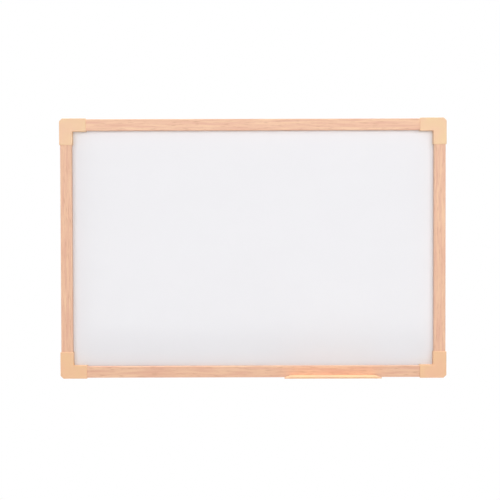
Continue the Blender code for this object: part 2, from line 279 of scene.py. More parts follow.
def node(tree, kind, sockets=None, **settings):
    """A new node. A socket takes a plain value, or the output of another node, which is linked."""
    made = tree.nodes.new("ShaderNode" + kind)
    for key, value in settings.items():
        setattr(made, key, value)
    for key, value in (sockets or {}).items():
        if isinstance(value, bpy.types.NodeSocket):
            tree.links.new(value, made.inputs[key])
        else:
            made.inputs[key].default_value = value
    return made


def finish(name, roughness, metallic=0.0, **constants):
    """A material whose Principled shader starts with these constant values."""
    made = bpy.data.materials.new(name)
    made.use_nodes = True
    shader = made.node_tree.nodes["Principled BSDF"]
    constants = {"Roughness": roughness, "Metallic": metallic, **constants}
    for key, value in constants.items():
        shader.inputs[key.replace("_", " ")].default_value = value
    return made, made.node_tree, shader


def place(tree, scale, turn=(0.0, 0.0, 0.0)):
    """Object coordinates, turned and scaled so that a pattern's grain has its real size."""
    coordinates = node(tree, "TexCoord").outputs["Object"]
    sockets = {"Vector": coordinates, "Scale": scale, "Rotation": turn}
    return node(tree, "Mapping", sockets).outputs[0]


def noise(tree, vector, scale=1.0, detail=3.0, rough=0.5):
    """Smooth noise between 0 and 1. Each step of detail adds a copy half as large and fainter."""
    sockets = {"Vector": vector, "Scale": scale, "Detail": detail, "Roughness": rough}
    return node(tree, "TexNoise", sockets).outputs["Fac"]


def spread(tree, value, low, high, to_low=0.0, to_high=1.0):
    """Stretches the range low..high of a value to to_low..to_high, and holds it there."""
    sockets = {"Value": value, 1: low, 2: high, 3: to_low, 4: to_high}
    return node(tree, "MapRange", sockets).outputs["Result"]


def blended(tree, factor, first, second, how="MIX"):
    """Two colours mixed by a factor."""
    made = node(tree, "Mix", data_type="RGBA", blend_type=how)
    for index, value in ((0, factor), (6, first), (7, second)):
        if isinstance(value, bpy.types.NodeSocket):
            tree.links.new(value, made.inputs[index])
        else:
            made.inputs[index].default_value = value
    return made.outputs[2]


def raised(tree, shader, height, distance, strength=1.0):
    """Fine relief from a height between 0 and 1, given its real depth in metres."""
    sockets = {"Height": height, "Distance": distance, "Strength": strength}
    tree.links.new(node(tree, "Bump", sockets).outputs["Normal"], shader.inputs["Normal"])


print("material helpers ready")

# %% [markdown]
# ## Wood print
#
# The rails are wrapped in a printed foil that looks like beech: rosy and straw-coloured streaks
# that run along the rail, soft darker flecks a centimetre or two long, and short pores. An image
# of wood would do it, but noise that is stretched along the foil does too, at any size and with no
# repeat. The pattern reads the rail's own UV map, in metres along and round the moulding, so it
# runs along all four rails and wraps over their edges as a foil does. Over the print, the colour is
# darkened a little from the top rail to the bottom one: painted shade, for less light lower down.

# %% Wood print
FOIL_STRAW = linear(240, 200, 166)
FOIL_ROSE = linear(226, 176, 150)
FOIL_PORE = linear(206, 150, 122)
FOIL_FLECK = linear(208, 158, 130)
# Painted shade: the range of foil starts over which the rails are darkened, and the colour that the
# bottom rail is multiplied by at its far end.
PAINTED_SHADE_FROM, PAINTED_SHADE_TO = 1.0, 3.7
RAIL_PAINTED_SHADE = (0.955, 0.93, 0.92, 1.0)


def foil_pattern(tree, coordinates, along, across, detail=3.0):
    """Noise whose grains are 1/along metres long and 1/across metres wide."""
    stretched = node(tree, "Mapping", {"Vector": coordinates, "Scale": (along, across, 1.0)})
    return noise(tree, stretched.outputs[0], 1.0, detail)


def wood_print():
    """Wide bands, flecks, threads and pores are four noises, laid one over the other. A fifth one
    moves them all sideways a little, so that the grain wanders."""
    made, tree, shader = finish("wood_print_foil", 0.42, Coat_Weight=0.15, Coat_Roughness=0.35)
    flat = node(tree, "UVMap", uv_map="foil").outputs["UV"]
    drift = spread(tree, foil_pattern(tree, flat, 9, 30, 1.0), 0.3, 0.7, -0.0012, 0.0012)
    sideways = node(tree, "CombineXYZ", {"Y": drift}).outputs[0]
    wavy = node(tree, "VectorMath", {0: flat, 1: sideways}, operation="ADD").outputs[0]
    bands = spread(tree, foil_pattern(tree, wavy, 17, 260), 0.36, 0.64)
    threads = spread(tree, foil_pattern(tree, wavy, 22, 1300, 2.0), 0.35, 0.65)
    pores = spread(tree, foil_pattern(tree, wavy, 170, 3400, 1.0), 0.62, 0.74)
    flecks = spread(tree, foil_pattern(tree, wavy, 60, 600, 1.0), 0.58, 0.72, 0.0, 0.8)
    colour = blended(tree, bands, FOIL_ROSE, FOIL_STRAW)
    colour = blended(tree, flecks, colour, FOIL_FLECK)
    fine = spread(tree, threads, 0.0, 1.0, 0.0, 0.28)
    colour = blended(tree, fine, colour, FOIL_ROSE)
    pitted = spread(tree, pores, 0.0, 1.0, 0.0, 0.45)
    colour = blended(tree, pitted, colour, FOIL_PORE)
    # Painted shade: the foil's start runs from the top rail to the bottom one and darkens the
    # colour by a multiply, so the lower rails look less lit.
    strip = node(tree, "SeparateXYZ", {0: flat}).outputs["Y"]
    shade = spread(tree, strip, PAINTED_SHADE_FROM, PAINTED_SHADE_TO)
    colour = blended(tree, shade, colour, blended(tree, 1.0, colour, RAIL_PAINTED_SHADE, "MULTIPLY"))
    tree.links.new(colour, shader.inputs["Base Color"])
    tree.links.new(spread(tree, threads, 0.0, 1.0, 0.38, 0.48), shader.inputs["Roughness"])
    raised(tree, shader, spread(tree, pores, 0.0, 1.0, 1.0, 0.0), 0.00004, 0.6)
    return made


wood_foil = wood_print()
print("wood print:", len(wood_foil.node_tree.nodes), "nodes")

# %% [markdown]
# ## Cap plastic
#
# The caps and the tray are one cream-coloured plastic, moulded in a tool with a fine satin grain.
# The colour drifts a little where the melt has flowed. Two noises on Object coordinates give both:
# a slow one for the colour and a very fine one for the grain. The lower caps and the tray are
# painted darker and warmer than the upper caps, by their height in Object coordinates: painted
# shade, for less light lower down.

# %% Cap plastic
PLASTIC_CREAM = linear(236, 202, 159)
PLASTIC_PINK = linear(236, 195, 161)
# Painted shade: the colour by which the lower caps and the tray are multiplied, darker and warmer.
LOWER_PAINTED_SHADE = (1.0, 0.905, 0.875, 1.0)
UPPER_PIECES_FROM, LOWER_PIECES_TO = 0.1, -0.1


def moulded_plastic():
    """A slow noise between two creams, darkened and warmed by painted shade in the share of the way
    down from the upper pieces to the lower ones, and a fine noise for the satin."""
    made, tree, shader = finish("cream_plastic", 0.4)
    slow = spread(tree, noise(tree, place(tree, (28, 28, 28)), 1.0, 2.0), 0.35, 0.65)
    fine = noise(tree, place(tree, (2600, 2600, 2600)), 1.0, 2.0)
    colour = blended(tree, slow, PLASTIC_PINK, PLASTIC_CREAM)
    # Painted shade: the lower pieces are darkened and warmed by their height.
    height = node(tree, "SeparateXYZ", {0: place(tree, (1, 1, 1))}).outputs["Z"]
    lower = spread(tree, height, LOWER_PIECES_TO, UPPER_PIECES_FROM, 1.0, 0.0)
    colour = blended(tree, lower, colour, blended(tree, 1.0, colour, LOWER_PAINTED_SHADE, "MULTIPLY"))
    tree.links.new(colour, shader.inputs["Base Color"])
    tree.links.new(spread(tree, fine, 0.3, 0.7, 0.36, 0.46), shader.inputs["Roughness"])
    raised(tree, shader, fine, 0.00003, 0.5)
    return made


cream_plastic = moulded_plastic()
print("cap plastic:", len(cream_plastic.node_tree.nodes), "nodes")

# %% [markdown]
# ## White lacquer, fibreboard, back sheet and zinc
#
# The writing face is gloss lacquer on steel: almost white, with the faintest haze of wiped ink.
# Behind it are brown fibreboard, which the other pieces hide, and a grey satin sheet with faint
# rolling marks. The screws are bright zinc. Sheet and screws are seen only from behind.

# %% White lacquer
LACQUER_WHITE = linear(231, 231, 235)
LACQUER_HAZE = linear(229, 229, 233)


def white_lacquer():
    """A slow noise for the haze, and a finer one whose hundredth of a millimetre is orange peel."""
    made, tree, shader = finish("white_lacquer_gloss", 0.1)
    haze = spread(tree, noise(tree, place(tree, (5, 5, 11), (0, 0.5, 0)), 1.0, 2.0), 0.2, 0.8)
    tree.links.new(blended(tree, haze, LACQUER_WHITE, LACQUER_HAZE), shader.inputs["Base Color"])
    tree.links.new(spread(tree, haze, 0.0, 1.0, 0.09, 0.12), shader.inputs["Roughness"])
    peel = noise(tree, place(tree, (420, 420, 420)), 1.0, 2.0)
    raised(tree, shader, peel, 0.00001, 0.4)
    return made


lacquer = white_lacquer()
print("white lacquer:", len(lacquer.node_tree.nodes), "nodes")


# %% Fibreboard, back sheet and zinc
def fibreboard():
    """One noise, finest across the board's thickness, from dark to light brown fibres."""
    made, tree, shader = finish("brown_fibreboard", 0.85)
    fibres = noise(tree, place(tree, (900, 2600, 900)), 1.0, 5.0, 0.7)
    colour = blended(tree, fibres, linear(120, 84, 56), linear(172, 130, 94))
    tree.links.new(colour, shader.inputs["Base Color"])
    raised(tree, shader, fibres, 0.0001, 0.6)
    return made


def back_grey():
    """Long thin noise for the marks of the rolls, with slow clouds over it."""
    made, tree, shader = finish("grey_back_sheet", 0.45, 0.35)
    rolled = noise(tree, place(tree, (4, 60, 900)), 1.0, 4.0)
    cloudy = noise(tree, place(tree, (14, 14, 14)), 1.0, 3.0)
    colour = blended(tree, rolled, linear(166, 168, 170), linear(182, 184, 186))
    colour = blended(tree, spread(tree, cloudy, 0.3, 0.7, 0.0, 0.5), colour, linear(172, 173, 174))
    tree.links.new(colour, shader.inputs["Base Color"])
    tree.links.new(spread(tree, rolled, 0.3, 0.7, 0.38, 0.52), shader.inputs["Roughness"])
    raised(tree, shader, rolled, 0.00001, 0.5)
    return made


def bright_zinc():
    """Small patches of warmer and cooler metal, as the zinc's crystals are."""
    made, tree, shader = finish("bright_zinc", 0.3, 1.0)
    patches = noise(tree, place(tree, (900, 900, 900)), 1.0, 3.0)
    colour = blended(tree, patches, linear(196, 198, 200), linear(214, 212, 204))
    tree.links.new(colour, shader.inputs["Base Color"])
    tree.links.new(spread(tree, patches, 0.3, 0.7, 0.22, 0.4), shader.inputs["Roughness"])
    raised(tree, shader, patches, 0.00001, 0.4)
    return made


fibre, grey_sheet, zinc = fibreboard(), back_grey(), bright_zinc()
for node_name, material in (("core_board", fibre), ("back_sheet", grey_sheet)):
    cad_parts[node_name].data.materials.clear()
    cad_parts[node_name].data.materials.append(material)
print("CAD nodes with a new finish: core_board, back_sheet")

# %% [markdown]
# ## The writing sheet
#
# It is a half-millimetre steel sheet, whose edges run into the grooves of the rails. Thin sheet
# glued to board is never dead flat, and that is what makes its soft reflections look real. So it
# is a fine grid: each ring of points goes up the front and down the back at one place along X, and
# both faces follow the same sum of slow waves, 0.04 mm high.

# %% Writing sheet
SHEET_WAVE = 0.00004
SHEET_COLUMNS, SHEET_ROWS = 150, 100


def sheet_wave(x, z):
    """Three slow crossing sine waves, with wavelengths of about 90 to 160 mm."""
    first, second = np.sin(24 * x + 31 * z), np.sin(43 * x - 17 * z + 1.0)
    return SHEET_WAVE / 3 * (first + second + np.sin(9 * x + 67 * z + 2.0))


def writing_sheet():
    """Rings up the front and down the back, side by side along X. Depth is the face plus a wave."""
    low, high = (np.array(corner[:]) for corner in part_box("writing_sheet"))
    x = np.linspace(low[0], high[0], SHEET_COLUMNS)[:, None]
    up = np.linspace(low[2], high[2], SHEET_ROWS)
    z = np.concatenate([up, up[::-1]])[None, :]
    face = np.repeat([low[1], high[1]], SHEET_ROWS)[None, :]
    x, z = np.broadcast_arrays(x, z)
    return skin("writing_sheet", np.stack([x, face + sheet_wave(x, z), z], -1))


sheet = shown(writing_sheet(), "writing_sheet_lacquered", lacquer)
stand_in(sheet, "writing_sheet")

# %% [markdown]
# ## The rails
#
# One grooved moulding, cut square into four lengths. The section is a polygon with the groove for
# the panel and with rounded corners, of which the inner front edge is the softest. It is carried
# along X, given a UV map in metres, drilled from behind for its screws, and then turned into
# place. Each rail starts at another place on the foil, so that no two show the same streaks. The
# same start sets the painted shade, so the upper rail is painted a little paler than the lower one.

# %% Rails
SCREW_ALONG, SCREW_ACROSS = 0.031, CAP_PROUD + RAIL_SPINE / 2
SCREW_SUNK, SCREW_LENGTH, SHANK_RADIUS = 0.0002, 0.010, 0.0013
PAST = 0.001
RAIL_CORNERS = (
    (GROOVE_BACK_Y, -RAIL_SPINE),
    (GROOVE_FRONT_Y, -RAIL_SPINE),
    (GROOVE_FRONT_Y, -RAIL_WIDTH),
    (RAIL_FRONT_Y, -RAIL_WIDTH),
    (RAIL_FRONT_Y, 0.0),
    (RAIL_BACK_Y, 0.0),
    (RAIL_BACK_Y, -RAIL_WIDTH),
    (GROOVE_BACK_Y, -RAIL_WIDTH),
)
RAIL_RADII = (0.0002, 0.0002, 0.0003, 0.0012, 0.0004, 0.0006, 0.0006, 0.0003)
RAIL_STATIONS = 60


def round_hole(centre, y_from, y_to, radius):
    """A round cutter: one circle at each of two levels of y."""
    return skin("cutter", along_y(ring(radius, centre, 32), (y_from, y_to)))


def rail(length, foil_start_and_shade):
    """The section at each station along X. UV is (distance along, distance round), in metres."""
    section, _ = rounded(RAIL_CORNERS, RAIL_RADII, 8)
    x = np.linspace(-length / 2, length / 2, RAIL_STATIONS)
    grid = np.empty((RAIL_STATIONS, len(section), 3))
    grid[..., 0], grid[..., 1], grid[..., 2] = x[:, None], section[:, 0], section[:, 1]
    around = np.linalg.norm(np.roll(section, -1, 0) - section, axis=1).cumsum()
    around = np.concatenate([[0.0], around])
    uv = np.stack(np.broadcast_arrays(x[:, None] + foil_start_and_shade, around[None, :] + foil_start_and_shade), -1)
    hole_bottom = -(SCREW_SUNK + SCREW_LENGTH + SEAT)
    holes = [
        round_hole(
            (side * (length / 2 + CAP_WIDTH - SCREW_ALONG), -RAIL_SPINE / 2),
            hole_bottom, RAIL_BACK_Y + PAST, SHANK_RADIUS + SEAT,
        )
        for side in (-1, 1)
    ]
    return cut(skin("rail", grid, uv), holes)


outer_x, outer_z = BOARD_WIDTH / 2 - CAP_PROUD, BOARD_HEIGHT / 2 - CAP_PROUD
across, upright = BOARD_WIDTH - 2 * CAP_WIDTH, BOARD_HEIGHT - 2 * CAP_WIDTH
# The last number is where each rail's foil starts: it picks the streaks and sets the painted shade,
# palest on the top rail and darkest on the bottom one.
rail_places = (
    ("rail_top", across, 0, (0, 0, outer_z), 1.0),
    ("rail_right", upright, 1, (outer_x, 0, 0), 1.9),
    ("rail_bottom", across, 2, (0, 0, -outer_z), 3.7),
    ("rail_left", upright, 3, (-outer_x, 0, 0), 2.8),
)
for name, length, turns, shift, foil_start_and_shade in rail_places:
    piece = shown(moved(rail(length, foil_start_and_shade), turns, shift), name + "_wrapped", wood_foil)
    stand_in(piece, name)

# %% [markdown]
# ## The corner caps
#
# One moulding, used four times: an L seen from the front, with a cut-off outer corner, a wall of
# one millimetre over the rails, and rounded rims that catch the light. The L's outline is carried
# from back to front. At both rims it moves inwards, against its own outward directions, by
# radius * (1 - sin t) at a depth of radius * (1 - cos t), which is a quarter round. Then it is
# hollowed out: two sockets for the rails, a slot for the panel, the hollow corner with its
# keyhole for a wall screw, and two countersinks.

# %% The cap's outside
CAP_ROUND, CAP_END_RADIUS, CAP_CHAMFER_RADIUS = 0.0005, 0.0006, 0.0025
RIM_HOLD, LEAST_RADIUS = 0.00015, 0.00002
CAP_CORNERS = (
    (CAP_CHAMFER, 0.0),
    (CAP_LEG, 0.0),
    (CAP_LEG, -CAP_WIDTH),
    (CAP_WIDTH, -CAP_WIDTH),
    (CAP_WIDTH, -CAP_LEG),
    (0.0, -CAP_LEG),
    (0.0, -CAP_CHAMFER),
)
CAP_RADII = (CAP_CHAMFER_RADIUS, *(CAP_END_RADIUS,) * 5, CAP_CHAMFER_RADIUS)


def cap_block():
    """The outline at each level, moved inwards by the rim's quarter rounds at front and back. The
    inset stays a little under the corners' radius, so that no arc shrinks to a point."""
    outline, outward = rounded(CAP_CORNERS, CAP_RADII, 8)
    t = np.linspace(0, np.pi / 2, 8)
    inset = CAP_ROUND * (1 - np.sin(t))
    depth = CAP_ROUND * (1 - np.cos(t))
    hold = CAP_ROUND + RIM_HOLD
    inset = np.concatenate([[hold], inset, inset[::-1], [hold]])
    y = np.concatenate([[0.0], -depth, (CAP_FRONT_Y + depth)[::-1], [CAP_FRONT_Y]])
    inset = np.minimum(inset, CAP_END_RADIUS - LEAST_RADIUS)[:, None, None]
    ringed = outline[None] - outward[None] * inset
    y = np.broadcast_to(y[:, None], ringed.shape[:2])
    return skin("cap", np.stack([ringed[..., 0], y, ringed[..., 1]], -1))


cap_outside = cap_block()
print("the cap's outside has", len(cap_outside.polygons), "faces")

# %% [markdown]
# ## What is taken out of a cap
#
# A wall screw's head goes in through the keyhole's round part, and its shank then slides along
# one of two slots, up or sideways, so that the board can hang either way. The keyhole lies just far
# enough from the corner's walls for the head to fit beside them at a slot's end. Every cutter
# reaches a little past the face that it opens, because a Boolean is only sure where faces cross.

# %% The cap's cutters
KEYHOLE_RADIUS, KEYHOLE_SLOT, KEYHOLE_REACH = 0.0042, 0.0044, 0.0056
WALL_SCREW_HEAD_RADIUS = 0.0038
KEYHOLE_AT = CAP_CORNER_WALL + SEAT + WALL_SCREW_HEAD_RADIUS + KEYHOLE_REACH
SCREW_HEAD_RADIUS, SCREW_HEAD_HEIGHT = 0.0025, 0.0014
SCREW_SPOTS = ((SCREW_ALONG, -SCREW_ACROSS), (SCREW_ACROSS, -SCREW_ALONG))


def slot_cutter(start, end):
    """A round-ended slot: half a circle about each end, joined by straight sides."""
    start, end = np.array(start), np.array(end)
    along = math.atan2(*(end - start)[::-1])
    turn = np.linspace(-np.pi / 2, np.pi / 2, 17) + along
    half = np.stack([np.cos(turn), np.sin(turn)], -1) * KEYHOLE_SLOT / 2
    outline = np.concatenate([end + half, start - half])
    return skin("cutter", along_y(outline, (-CAP_BACK - PAST, PAST)))


def cap_cutters():
    """Two rail sockets, the hollow corner, the panel's slot, the keyhole, and two countersinks:
    circles whose radius falls from the head's to the shank's."""
    inside, beyond = CAP_WIDTH - CAP_WALL, CAP_LEG + PAST
    front, stop = CAP_FRONT_Y + CAP_WALL, CAP_WIDTH - SEAT
    panel = CAP_PROUD + RAIL_SPINE
    at = (KEYHOLE_AT, -KEYHOLE_AT)
    made = [
        block((stop, front, -inside), (beyond, -CAP_BACK, -CAP_WALL)),
        block((CAP_WALL, front, -beyond), (inside, -CAP_BACK, -stop)),
        block((CAP_CORNER_WALL, front, -inside), (inside, -CAP_BACK, -CAP_CORNER_WALL)),
        block((panel, GROOVE_FRONT_Y, -beyond), (beyond, GROOVE_BACK_Y, -panel)),
        round_hole(at, -CAP_BACK - PAST, PAST, KEYHOLE_RADIUS),
        slot_cutter(at, (KEYHOLE_AT - KEYHOLE_REACH, -KEYHOLE_AT)),
        slot_cutter(at, (KEYHOLE_AT, KEYHOLE_REACH - KEYHOLE_AT)),
    ]
    for x, z in SCREW_SPOTS:
        radii = np.array([SCREW_HEAD_RADIUS, SCREW_HEAD_RADIUS, SHANK_RADIUS, SHANK_RADIUS]) + SEAT
        levels = (PAST, -SCREW_SUNK, -SCREW_SUNK - SCREW_HEAD_HEIGHT, -CAP_BACK - PAST)
        grid = along_y(ring(1.0, sides=48), levels)
        grid[..., ::2] = grid[..., ::2] * radii[:, None, None] + np.array([x, z])
        made.append(skin("cutter", grid))
    return made


cap = cut(cap_outside, cap_cutters())
print("the finished cap has", len(cap.polygons), "faces")
print("its keyhole lies", round(KEYHOLE_AT / MM, 1), "mm from both outer edges")

# %% Four caps
cap_places = (
    ("top_left", -1, 1),
    ("top_right", 1, 1),
    ("bottom_right", 1, -1),
    ("bottom_left", -1, -1),
)
for turns, (name, side, level) in enumerate(cap_places):
    shift = (side * BOARD_WIDTH / 2, 0, level * BOARD_HEIGHT / 2)
    piece = shown(moved(cap, turns, shift), "cap_" + name + "_moulded", cream_plastic)
    stand_in(piece, "cap_" + name)

# %% [markdown]
# ## The cap screws
#
# Small countersunk screws, eight of them. A turned part is a profile of radii carried round an
# axis. The cross recess is worked in as a height: each point of the head's face sinks where it
# lies inside one of two crossed bars, whose flanks slope as a driver's tip does. The thread is a
# ridge that climbs one pitch for each turn: the radius grows where (depth / pitch - turn) lies
# near the middle between two whole numbers.

# %% Screws
RECESS_HALF_LENGTH, RECESS_HALF_WIDTH, RECESS_DEPTH, RECESS_FLANK = 0.0015, 0.00036, 0.001, 0.00016
THREAD_PITCH, THREAD_HEIGHT, THREAD_SHARE, SCREW_POINT = 0.0011, 0.00022, 0.28, 0.0025
THREAD_FROM, THREAD_END = SCREW_HEAD_HEIGHT + 0.0012, SCREW_LENGTH - 0.0002
POINT_SHARE = 0.12
HUB_RADIUS, RIM_STEP, RIM_DEPTHS = 0.00003, 0.0001, (0.00008, 0.0002)
SCREW_SIDES, FACE_RINGS, SHANK_RINGS = 72, 26, 120


def bar(along, over):
    """1 inside a bar that is centred on the axis, 0 outside it, with sloping flanks."""
    ends = np.clip((RECESS_HALF_LENGTH - np.abs(along)) / RECESS_FLANK, 0, 1)
    return ends * np.clip((RECESS_HALF_WIDTH - np.abs(over)) / RECESS_FLANK, 0, 1)


def screw():
    """A radius and a depth at each ring and each side. The face's rings lie at depth 0 but for the
    recess, two rings make the rim, and the shank narrows to its point."""
    turn = np.arange(SCREW_SIDES) / SCREW_SIDES
    circle = ring(1.0, sides=SCREW_SIDES)
    face = np.linspace(HUB_RADIUS, SCREW_HEAD_RADIUS - RIM_STEP, FACE_RINGS)
    shank = np.linspace(SCREW_HEAD_HEIGHT, SCREW_LENGTH, SHANK_RINGS)
    rims = np.array([SCREW_HEAD_RADIUS, SCREW_HEAD_RADIUS])
    taper = np.clip((SCREW_LENGTH - shank) / SCREW_POINT, POINT_SHARE, 1)
    radius = np.concatenate([face, rims, SHANK_RADIUS * taper])
    depth = np.concatenate([np.zeros(len(face)), RIM_DEPTHS, shank])
    radius = np.repeat(radius[:, None], SCREW_SIDES, 1)
    depth = np.repeat(depth[:, None], SCREW_SIDES, 1)
    climb = (depth / THREAD_PITCH - turn) % 1
    ridge = np.clip(1 - np.abs(climb - 0.5) / THREAD_SHARE, 0, 1)
    threaded = (depth > THREAD_FROM) & (depth < THREAD_END)
    fading = np.clip(radius / SHANK_RADIUS, 0, 1)
    radius = radius + np.where(threaded, ridge * THREAD_HEIGHT, 0.0) * fading
    x, z = radius * circle[:, 0], radius * circle[:, 1]
    sunk = RECESS_DEPTH * np.maximum(bar(x, z), bar(z, x))
    depth = depth + np.where(depth == 0, sunk, 0.0)
    return skin("screw", np.stack([x, -SCREW_SUNK - depth, z], -1))


screw_mesh = screw()
print("the thread makes", round((THREAD_END - THREAD_FROM) / THREAD_PITCH, 1), "turns")
for turns, (name, side, level) in enumerate(cap_places):
    shift = (side * BOARD_WIDTH / 2, 0, level * BOARD_HEIGHT / 2)
    for letter, (x, z) in zip("ab", SCREW_SPOTS):
        seated = moved(moved(screw_mesh, 0, (x, 0, z)), turns, shift)
        piece = shown(seated, f"cap_screw_{name}_{letter}_turned", zinc)
        stand_in(piece, f"cap_screw_{name}_{letter}")

# %% [markdown]
# ## The pen tray
#
# A short shelf with a shallow dish, on two clips that reach under and behind the bottom rail. The
# front lip is well rounded below, so that it darkens towards its lower edge. The shelf is one
# section, carried from end to end: a dish, a lip, an underside and a heel against the rail.

# %% The tray's shelf
TRAY_SHELF_LENGTH = 0.134
TRAY_DEPTH, TRAY_HEIGHT, TRAY_WALL, TRAY_DISH = 0.018, 0.0036, 0.0015, 0.0014
TRAY_RIM, TRAY_UNDER_ROUND, BACK_RIM, HEEL_ROUND = 0.0006, 0.0028, 0.0005, 0.0001
DISH_POINTS, SHELF_STATIONS = 26, 60


def arc(centre, radius, start, end, steps=7):
    """Points on a circle from one angle to another, in degrees."""
    turn = np.radians(np.linspace(start, end, steps))
    return np.stack([np.cos(turn), np.sin(turn)], -1) * radius + centre


def tray_section():
    """The shelf's skin as (forward, height): dish, front lip, underside, heel. The dish sinks by
    half of (1 - cosine) of the share of the way from the back rim to the front rim."""
    share = np.linspace(0, 1, DISH_POINTS)
    back, front = SEAT + TRAY_WALL, TRAY_DEPTH - TRAY_WALL
    forward = back + (front - back) * share
    height = TRAY_HEIGHT - TRAY_DISH * (0.5 - 0.5 * np.cos(2 * np.pi * share))
    lip = np.concatenate([
        arc((TRAY_DEPTH - TRAY_RIM, TRAY_HEIGHT - TRAY_RIM), TRAY_RIM, 90, 0),
        arc((TRAY_DEPTH - TRAY_UNDER_ROUND, TRAY_UNDER_ROUND), TRAY_UNDER_ROUND, 0, -80, 12),
    ])
    under = np.stack([forward, height - TRAY_WALL], -1)[::-1][1:-1]
    heel = np.concatenate([
        arc((back - HEEL_ROUND, HEEL_ROUND), HEEL_ROUND, 0, -90, 3),
        arc((SEAT + HEEL_ROUND, HEEL_ROUND), HEEL_ROUND, 270, 180, 3),
        arc((SEAT + BACK_RIM, TRAY_HEIGHT - BACK_RIM), BACK_RIM, 180, 90, 5),
    ])
    return np.concatenate([np.stack([forward, height], -1)[:-1], lip, under, heel])


def carried(section, stations, outward=0.0, insets=0.0):
    """The section at each station along X, moved in by the inset times its outward direction."""
    x = np.broadcast_to(stations[:, None], (len(stations), len(section)))
    ringed = section - outward * np.reshape(insets, (-1, 1, 1))
    forward, height = (np.broadcast_to(ringed[..., k], x.shape) for k in (0, 1))
    return np.stack([x, -forward, height], -1)


shelf_half = TRAY_SHELF_LENGTH / 2
shelf = skin("shelf", carried(tray_section(), np.linspace(-shelf_half, shelf_half, SHELF_STATIONS)))
print("the shelf has", len(shelf.polygons), "faces")

# %% [markdown]
# ## The tray's ends
#
# Each end is closed by a wall that is drawn out to a low tip at the front, so the ends slope down
# and slant back, and catch the light from above. An end is a bar whose height and depth run evenly
# from the wall to the tip, where its front face turns back in a quarter circle. It starts inside
# the shelf and a little within its faces, because a Boolean can't tell inside from outside where
# two faces share a plane.

# %% The tray's ends
TIP_REACH, TIP_DEPTH, TIP_TOP, TIP_UNDERSIDE, TIP_ROUND = 0.0095, 0.003, 0.0019, 0.0004, 0.0022
TRAY_END_STEP, TIP_HOLD = 0.0002, 0.00005
RADIUS_SHARE = 0.4  # the most that a corner's radius takes of the bar's depth or height


def tray_end(side):
    """A rounded bar from inside the shelf to the tip: (back, front, underside, top) run evenly
    from the wall's to the tip's, and the front turns back in a quarter circle at the tip."""
    nose = TIP_REACH - TIP_ROUND * (1 - np.sin(np.linspace(0, np.pi / 2, 12)))
    reach = np.concatenate([[-TRAY_WALL], np.linspace(TRAY_END_STEP, nose[0], 12)[:-1], nose])
    share = np.clip(reach / TIP_REACH, 0, 1)[:, None]
    front = TRAY_DEPTH - TRAY_END_STEP
    wall = np.array([SEAT + TRAY_END_STEP, front, TRAY_END_STEP, TRAY_HEIGHT - TRAY_END_STEP])
    tip = np.array([front - TIP_DEPTH, front, TIP_UNDERSIDE, TIP_TOP])
    back, ahead, under, top = (wall + (tip - wall) * share).T
    turned_back = np.clip(reach - TIP_REACH + TIP_ROUND, 0, TIP_ROUND)
    ahead = ahead - (TIP_ROUND - np.sqrt(TIP_ROUND**2 - turned_back**2))
    square = np.array([(0.0, 1.0), (1.0, 1.0), (1.0, 0.0), (0.0, 0.0)])
    rings = []
    for b, a, u, t in zip(back, ahead, under, top):
        radius = min(TRAY_RIM, RADIUS_SHARE * (a - b), RADIUS_SHARE * (t - u))
        rings.append(rounded(square * (a - b, t - u) + (b, u), radius, 6, TIP_HOLD)[0])
    rings = np.array(rings)
    x = np.broadcast_to((side * (shelf_half + reach))[:, None], rings.shape[:2])
    return skin("tray_end", np.stack([x, -rings[..., 0], rings[..., 1]], -1))


ends = [tray_end(-1), tray_end(1)]
print("over its tips the tray is", round(2 * (shelf_half + TIP_REACH) / MM, 1), "mm long")

# %% [markdown]
# ## The tray's clips
#
# A clip is one bent strip: a neck inside the shelf's heel, a foot under the rail and a leg behind
# it. It is one section too, and its last rings shrink along their outward directions by a quarter
# round. The neck stays a little within the heel's faces, for the Boolean's sake again.

# %% The tray's clips
CLIP_WIDTH, CLIP_INSET, CLIP_LEG, CLIP_HEIGHT, CLIP_ROUND = 0.024, 0.010, 0.0018, 0.009, 0.0006
CLIP_NECK_STEP, CLIP_END_ROUND = 0.00015, 0.0003
NECK_ROUND, HOLLOW_ROUND, CLIP_HOLD = 0.0004, 0.0002, 0.0001
CLIP_STATIONS = 6


def round_end_stations(half, steps):
    """Places along X and the inset at each: a quarter round at both ends, and no inset between."""
    t = np.linspace(0, np.pi / 2, 6)
    near = CLIP_END_ROUND * (1 - np.cos(t)) - half
    inset = CLIP_END_ROUND * (1 - np.sin(t))
    middle = np.linspace(near[-1], -near[-1], steps)[1:-1]
    stations = np.concatenate([near, middle, -near[::-1]])
    return stations, np.concatenate([inset, np.zeros(steps - 2), inset[::-1]])


def clip_section():
    """Under the rail from a neck inside the shelf's heel, then up behind the rail."""
    behind = -(RAIL_DEPTH + SEAT)
    neck_back, neck_front = SEAT + CLIP_NECK_STEP, SEAT + TRAY_WALL - CLIP_NECK_STEP
    lifted = CLIP_HEIGHT - CAP_PROUD
    corners = (
        (neck_front, -CAP_PROUD),
        (neck_front, TRAY_HEIGHT / 4),
        (neck_back, TRAY_HEIGHT / 4),
        (neck_back, -SEAT),
        (behind, -SEAT),
        (behind, lifted),
        (behind - CLIP_LEG, lifted),
        (behind - CLIP_LEG, -CAP_PROUD),
    )
    radii = (CLIP_ROUND, *(NECK_ROUND,) * 2, *(HOLLOW_ROUND,) * 2, *(CLIP_ROUND,) * 3)
    return rounded(corners, radii, 5, CLIP_HOLD)


def clip(side):
    """The clip's section at each station, as far from the tray's middle as its inset leaves."""
    section, outward = clip_section()
    stations, insets = round_end_stations(CLIP_WIDTH / 2, CLIP_STATIONS)
    middle = side * (shelf_half - CLIP_INSET - CLIP_WIDTH / 2)
    return skin("clip", carried(section, stations + middle, outward, insets))


clips = [clip(-1), clip(1)]
print("a clip has", len(clips[0].polygons), "faces")

